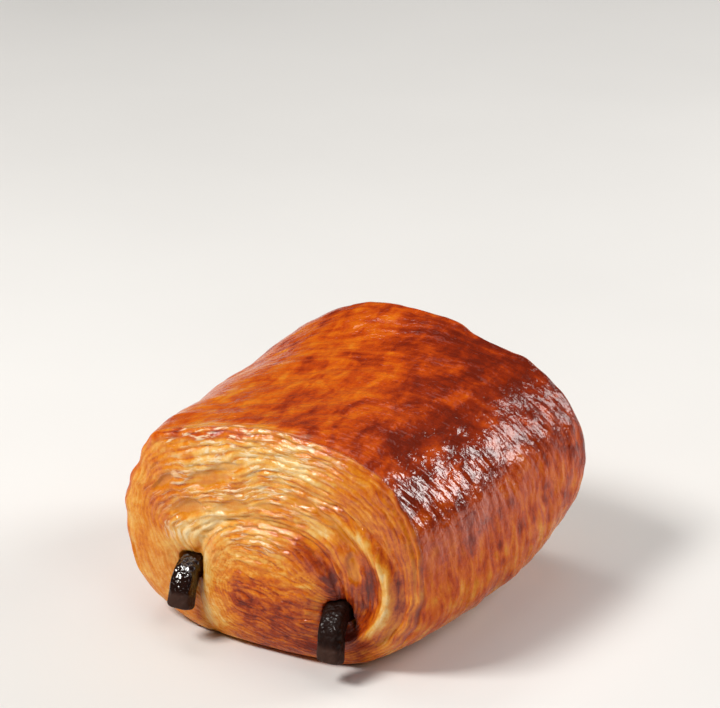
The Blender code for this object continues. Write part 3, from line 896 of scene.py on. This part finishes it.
class Nodes:
    """Short forms for building a material's node tree"""

    def __init__(self, name):
        self.material = bpy.data.materials.new(name)
        self.material.use_nodes = True
        self.tree = self.material.node_tree
        self.tree.nodes.clear()
        self.shader = self.add("ShaderNodeBsdfPrincipled")
        output = self.add("ShaderNodeOutputMaterial")
        self.tree.links.new(self.shader.outputs[0], output.inputs["Surface"])

    def add(self, kind, **values):
        node = self.tree.nodes.new(kind)
        for key, value in values.items():
            setattr(node, key, value)
        return node

    def set(self, socket, value):
        if isinstance(value, bpy.types.NodeSocket):
            self.tree.links.new(value, socket)
        else:
            socket.default_value = value

    def give(self, **values):
        """Sets the shader's own sockets, named with _ for each space"""
        for name, value in values.items():
            self.set(self.shader.inputs[name.replace("_", " ")], value)

    def made(self, kind, output, inputs, **settings):
        """Output of a new node, with its inputs given by name or number"""
        node = self.add(kind, **settings)
        for key, value in inputs.items():
            self.set(node.inputs[key], value)
        return node.outputs[output]

    def attribute(self, name, output="Fac"):
        return self.add("ShaderNodeAttribute", attribute_name=name).outputs[output]

    def place(self):
        return self.add("ShaderNodeTexCoord").outputs["Object"]

    def math(self, operation, first, second=0.0, third=0.0, clamp=False):
        inputs = {0: first, 1: second, 2: third}
        return self.made("ShaderNodeMath", 0, inputs, operation=operation, use_clamp=clamp)

    def vary(self, tone, pattern, share, clamp=False):
        """Adds a share of a pattern that is 0.5 on the mean"""
        change = self.math("SUBTRACT", pattern, 0.5)
        return self.math("MULTIPLY_ADD", change, share, tone, clamp)

    def fold(self, pattern):
        """0 along the lines where a pattern is 0.5"""
        return self.math("ABSOLUTE", self.math("SUBTRACT", pattern, 0.5))

    def weighed(self, *pairs):
        """Sum of patterns, each times its weight"""
        total = 0.0
        for value, weight in pairs:
            total = self.math("MULTIPLY_ADD", value, weight, total)
        return total

    def scaled(self, vector, scale):
        inputs = {0: vector, 1: scale}
        return self.made("ShaderNodeVectorMath", 0, inputs, operation="MULTIPLY")

    def noise(self, vector, *values):
        names = ("Vector", "Scale", "Detail", "Roughness", "Distortion")
        return self.made("ShaderNodeTexNoise", "Fac", dict(zip(names, (vector, *values))))

    def voronoi(self, vector, scale):
        inputs = {"Vector": vector, "Scale": scale}
        return self.made("ShaderNodeTexVoronoi", "Distance", inputs)

    def remap(self, value, low, high, to_low=0.0, to_high=1.0):
        inputs = dict(enumerate((value, low, high, to_low, to_high)))
        return self.made("ShaderNodeMapRange", 0, inputs, clamp=True)

    def between(self, value, ends):
        """Goes from the first end to the second as a value goes from 0 to 1"""
        return self.remap(value, 0.0, 1.0, *ends)

    def ramp(self, value, stops):
        node = self.add("ShaderNodeValToRGB")
        self.set(node.inputs[0], value)
        elements = node.color_ramp.elements
        while len(elements) < len(stops):
            elements.new(0.5)
        for element, (place, colour) in zip(elements, stops):
            element.position = place
            element.color = linear(colour)
        return node.outputs["Color"]

    def blend(self, share, first, second, kind="RGBA"):
        """The mix node has sockets of its own for each kind of value"""
        start, output = {"FLOAT": (2, 0), "RGBA": (6, 2)}[kind]
        inputs = {0: share, start: first, start + 1: second}
        return self.made("ShaderNodeMix", output, inputs, data_type=kind)

    def bump(self, height, distance):
        """Bumps the surface and its clear coat alike"""
        normal = self.made("ShaderNodeBump", 0, {"Height": height, "Distance": distance})
        self.give(Normal=normal, Coat_Normal=normal)


def linear(colour):
    """Scene values of a colour given as 0 to 255 in the display's own scale"""
    shares = [part / 255 for part in colour]
    values = [s / 12.92 if s <= 0.04045 else ((s + 0.055) / 1.055) ** 2.4 for s in shares]
    return (*values, 1)


# Colours from pale to well baked
CRUST_STOPS = [
    (0.00, (226, 166, 84)), (0.2, (222, 138, 36)), (0.42, (210, 100, 10)),
    (0.62, (186, 68, 6)), (0.82, (140, 40, 6)), (1.00, (108, 28, 6)),
]
FACE_STOPS = [
    (0.00, (246, 212, 150)), (0.2, (238, 178, 84)), (0.42, (226, 134, 24)),
    (0.62, (204, 98, 16)), (0.8, (166, 60, 12)), (1.00, (108, 30, 10)),
]
POCKET_COLOUR = (208, 130, 26)
# Pale cream of the flakes, painted highlights on the leaf edges and the front rim
FLAKE_HIGHLIGHT_COLOUR = (255, 232, 190)
CHOCOLATE_STOPS = [(0.0, (30, 13, 8)), (0.5, (40, 21, 15)), (1.0, (62, 42, 35))]
FLOOR_STOPS = [(0.3, (222, 221, 219)), (0.7, (228, 227, 225))]

# Noises of the dough: what they lie on, how it is stretched, scale, detail, roughness, distortion.
# The grain counts leaves or wrinkles, so there the scale is 1.
DOUGH_NOISES = {
    "patches": ("place", (1.15, 0.55, 1.0), 190.0, 3.0, 0.55, 0.6),
    "flecks": ("place", (1.15, 0.55, 1.0), 420.0, 3.0, 0.6, 0.6),
    "streaks": ("grain", (0.7, 0.9, 1.0), 1.0, 2.0, 0.5, 0.0),
    "lines": ("grain", (2.2, 0.8, 1.0), 1.0, 2.0, 0.5, 0.8),
    "fold": ("grain", (1.6, 1.3, 1.0), 1.0, 1.0, 0.5, 0.5),
    "crinkle": ("place", (1, 1, 1), 700.0, 2.0, 0.55, 0.3),
    "mottle": ("place", (1, 1, 1), 340.0, 3.0, 0.6, 0.6),
    "crumb": ("place", (1, 1, 1), 1500.0, 3.0, 0.6, 0.0),
    "specks": ("place", (1, 1, 1), 1100.0, 2.0, 0.5, 0.0),
    "dash": ("place", (0.42, 0.42, 1.0), 1000.0, 2.0, 0.6, 0.5),
    "fibre": ("grain", (0.8, 2.2, 2.2), 1.0, 3.0, 0.6, 0.4),
    "shred": ("grain", (0.62, 1.15, 1.15), 1.0, 3.0, 0.62, 0.4),
}
NOISE_RANGE = (0.3, 0.7)
BUBBLES = 620.0
BUBBLE_SIZE = 0.42
BUBBLES_SHOW = (0.48, 0.62)
# Scale, detail and roughness of the noises of the chocolate and the floor
CLOUDS = (700.0, 4.0, 0.6)
MELT = (660.0, 1.5, 0.5)
FLOOR_CLOUDS = (6.0, 3.0, 0.5)

# How much each pattern changes the tone, from the dull crust to the glossy one
PATCH_SHARE = (0.7, 1.05)
FLECK_SHARE = (0.25, 0.5)
STREAK_SHARE = (1.1, 0.0)
LINE_SHARE = 0.06
LINE_WIDTH = 0.06
# The same on the end faces, where pairs go from the outer turns to the core
FIBRE_SHARE = (0.3, 0.2)
DASH_SHARE = (0.0, 0.75)
MOTTLE_SHARE = 0.5
CRUMB_SHARE = 0.35
POCKET_SHARE = 0.45
# Share of the pale flakes, painted highlights, over the colour
FLAKE_HIGHLIGHT_SHARE = 0.8
SHREDS_SHOW = (0.52, 0.63)

# Gloss and bump
CRUST_ROUGHNESS = (0.2, 0.32)
FACE_ROUGHNESS = (0.24, 0.44)
POCKET_GLOSS = -0.14
DOUGH_SPECULAR = 0.12
DOUGH_COAT = (0.0, 0.85)
DOUGH_COAT_ROUGHNESS = 0.1
DOUGH_BUMP = 0.00016
CRINKLE_HEIGHT, FOLD_HEIGHT = 1.5, -1.3
BUBBLE_HEIGHT, FIBRE_HEIGHT, CRUMB_HEIGHT, FLAKE_HEIGHT, DASH_HEIGHT = 0.5, 0.75, 0.4, 0.4, -1.6
FACE_BUMP = 1.3  # less inside the pockets
MATTE_TIP = (0.004, 0.0026)  # distances from the tip of a stick
BLOOM_SHARE = 0.8
CHOCOLATE_ROUGHNESS = (0.12, 0.55)
CHOCOLATE_COAT = (1.0, 0.0)
CHOCOLATE_COAT_ROUGHNESS = 0.11
CHOCOLATE_SPECULAR = 0.08
CHOCOLATE_BUMP = 0.00064
FLOOR_ROUGHNESS = 0.8


def crust_colour(m, noises, bake, shine):
    """Patches and flecks on the glossy top, streaks round the dull sides, and fine lines"""
    tone = bake
    changes = {"patches": PATCH_SHARE, "flecks": FLECK_SHARE, "streaks": STREAK_SHARE}
    for name, share in changes.items():
        tone = m.vary(tone, noises[name], m.between(shine, share))
    lines = m.remap(m.fold(noises["lines"]), 0.0, LINE_WIDTH, 1.0, 0.0)
    return m.ramp(m.math("MULTIPLY_ADD", lines, LINE_SHARE, tone), CRUST_STOPS)


def pastry_material():
    """Glazed crust and fibrous end faces of the dough"""
    m = Nodes("baked_dough")
    names = ("face", "bake", "pocket", "inner", "flaky_highlight", "shine")
    face, bake, pocket, inner, flaky_highlight, shine = [m.attribute(name) for name in names]
    spaces = {"grain": m.attribute("grain", "Vector"), "place": m.place()}
    noises = {}
    for name, (space, stretch, *values) in DOUGH_NOISES.items():
        noises[name] = m.noise(m.scaled(spaces[space], stretch), *values)
    mottle, crumb, fibre, dash = [noises[name] for name in ("mottle", "crumb", "fibre", "dash")]
    # Pale flakes where the mask allows: painted highlights
    flake_highlight = m.math("MULTIPLY", m.remap(noises["shred"], *SHREDS_SHOW), flaky_highlight)

    tone = m.vary(bake, fibre, m.between(inner, FIBRE_SHARE))
    tone = m.vary(tone, dash, m.between(inner, DASH_SHARE))
    tone = m.vary(m.vary(tone, mottle, MOTTLE_SHARE), crumb, CRUMB_SHARE)
    in_pocket = m.math("MULTIPLY", pocket, POCKET_SHARE)
    face_colour = m.blend(in_pocket, m.ramp(tone, FACE_STOPS), linear(POCKET_COLOUR))
    colour = m.blend(face, crust_colour(m, noises, bake, shine), face_colour)
    # Blends in the pale flakes, painted highlights on the leaf edges and along the front rim
    colour = m.blend(m.math("MULTIPLY", flake_highlight, FLAKE_HIGHLIGHT_SHARE), colour, linear(FLAKE_HIGHLIGHT_COLOUR))

    crust_rough = m.remap(mottle, *NOISE_RANGE, *CRUST_ROUGHNESS)
    face_rough = m.remap(crumb, *NOISE_RANGE, *FACE_ROUGHNESS)
    face_rough = m.math("MULTIPLY_ADD", pocket, POCKET_GLOSS, face_rough)

    fold = m.fold(noises["fold"])
    crust_height = m.weighed((noises["crinkle"], CRINKLE_HEIGHT), (fold, FOLD_HEIGHT))
    bubbles = m.remap(m.voronoi(spaces["place"], BUBBLES), 0.0, BUBBLE_SIZE, 1.0, 0.0)
    bubbles = m.math("MULTIPLY", bubbles, m.remap(noises["specks"], *BUBBLES_SHOW))
    face_height = m.weighed(
        (bubbles, BUBBLE_HEIGHT), (fibre, FIBRE_HEIGHT), (crumb, CRUMB_HEIGHT),
        (flake_highlight, FLAKE_HEIGHT), (m.math("MULTIPLY", inner, dash), DASH_HEIGHT),
    )
    face_height = m.math("MULTIPLY", face_height, m.math("SUBTRACT", FACE_BUMP, pocket))
    m.bump(m.blend(face, crust_height, face_height, "FLOAT"), DOUGH_BUMP)
    m.give(
        Base_Color=colour,
        Roughness=m.blend(face, crust_rough, face_rough, "FLOAT"),
        Specular_IOR_Level=DOUGH_SPECULAR,
        Coat_Weight=m.between(shine, DOUGH_COAT),
        Coat_Roughness=DOUGH_COAT_ROUGHNESS,
    )
    return m.material


def chocolate_material():
    """Dark chocolate, wet and pitted or dull, with a pale bloom at the tips"""
    m = Nodes("dark_chocolate")
    where = m.place()
    matte = m.remap(m.attribute("to_tip"), *MATTE_TIP)
    bloom = m.vary(matte, m.noise(where, *CLOUDS), BLOOM_SHARE, clamp=True)
    wet = m.math("MULTIPLY", m.attribute("wet"), m.math("SUBTRACT", 1.0, bloom))
    dull = m.math("SUBTRACT", 1.0, wet, clamp=True)
    m.bump(m.noise(where, *MELT), CHOCOLATE_BUMP)
    m.give(
        Base_Color=m.ramp(bloom, CHOCOLATE_STOPS),
        Roughness=m.between(dull, CHOCOLATE_ROUGHNESS),
        Specular_IOR_Level=CHOCOLATE_SPECULAR,
        Coat_Weight=m.between(dull, CHOCOLATE_COAT),
        Coat_Roughness=CHOCOLATE_COAT_ROUGHNESS,
    )
    return m.material


def floor_material():
    m = Nodes("pale_floor")
    clouds = m.noise(m.place(), *FLOOR_CLOUDS)
    m.give(Base_Color=m.ramp(clouds, FLOOR_STOPS), Roughness=FLOOR_ROUGHNESS)
    return m.material


def make_floor():
    mesh = bpy.data.meshes.new("floor")
    corners = [(x * FLOOR_HALF, y * FLOOR_HALF, 0) for x, y in ((-1, -1), (1, -1), (1, 1), (-1, 1))]
    mesh.from_pydata(corners, [], [(0, 1, 2, 3)])
    mesh.materials.append(floor_material())
    floor = add_object("floor", mesh)
    floor.location.z = -FLOOR_DROP


def direction(azimuth, elevation):
    """Unit vector: azimuth 0 is towards -Y and 90 towards +X, elevation is above the ground"""
    az, el = math.radians(azimuth), math.radians(elevation)
    return np.array([math.sin(az) * math.cos(el), -math.cos(az) * math.cos(el), math.sin(el)])


def level_axes(forward):
    """The directions to the right and up of a level view along a direction"""
    right = np.cross(forward, (0, 0, 1))
    right = right / np.linalg.norm(right)
    return right, np.cross(right, forward)


def look(obj, position, forward):
    """Places an object level and facing along a direction"""
    right, up = level_axes(forward)
    matrix = np.eye(4)
    matrix[:3, 0], matrix[:3, 1], matrix[:3, 2], matrix[:3, 3] = right, up, -forward, position
    obj.matrix_world = matrix.T


def make_lights():
    for name, (azimuth, elevation, distance, width, height, power, colour) in LIGHTS.items():
        lamp = bpy.data.lights.new(name, "AREA")
        lamp.shape = "RECTANGLE"
        lamp.size, lamp.size_y = width, height
        lamp.energy = power
        lamp.color = colour
        away = direction(azimuth, elevation)
        look(add_object(name, lamp), np.array([0, 0, AIM_HEIGHT]) + away * distance, -away)
    world = bpy.data.worlds.new("soft_surround")
    world.use_nodes = True
    background = world.node_tree.nodes["Background"]
    background.inputs["Color"].default_value = WORLD_COLOUR
    background.inputs["Strength"].default_value = WORLD_STRENGTH
    bpy.context.scene.world = world
    bpy.context.scene.view_settings.view_transform = "Standard"


def make_camera():
    """Level camera whose aim point shows at AIM_PIXEL"""
    focal = LENS / SENSOR_WIDTH * PICTURE_WIDTH
    want_x = (AIM_PIXEL[0] - PICTURE_WIDTH / 2) / focal
    want_y = (AIM_PIXEL[1] - PICTURE_HEIGHT / 2) / focal
    away = direction(CAMERA_AZIMUTH, CAMERA_ELEVATION)
    aim = np.array([ROLL_SHIFT[0], ROLL_SHIFT[1], AIM_HEIGHT])
    azimuth, elevation = CAMERA_AZIMUTH, CAMERA_ELEVATION
    for _ in range(AIM_ROUNDS):
        forward = -direction(azimuth, elevation)
        right, up = level_axes(forward)
        depth = -away @ forward
        azimuth = azimuth + math.degrees(want_x - (-away @ right) / depth)
        elevation = elevation - math.degrees(want_y + (-away @ up) / depth)
    data = bpy.data.cameras.new("camera")
    data.sensor_width = SENSOR_WIDTH
    data.lens = LENS
    data.clip_start, data.clip_end = CLIP_RANGE
    camera = add_object("camera", data)
    look(camera, aim + away * CAMERA_DISTANCE, -direction(azimuth, elevation))
    bpy.context.scene.camera = camera


def dress():
    """Gives each solid its skin"""
    pastry = make_pastry()
    pastry.data.materials.append(pastry_material())
    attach(pastry, "root")
    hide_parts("pastry")
    chocolate = chocolate_material()
    for number, (node, stick) in enumerate(STICKS.items()):
        piece = make_stick(node, stick, STICK_SEED + STICK_SEED_STEP * number, WETNESS[node])
        piece.data.materials.append(chocolate)
        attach(piece, "root")
        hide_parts(node)


dress()
make_floor()
make_lights()
make_camera()

bpy.context.view_layer.update()
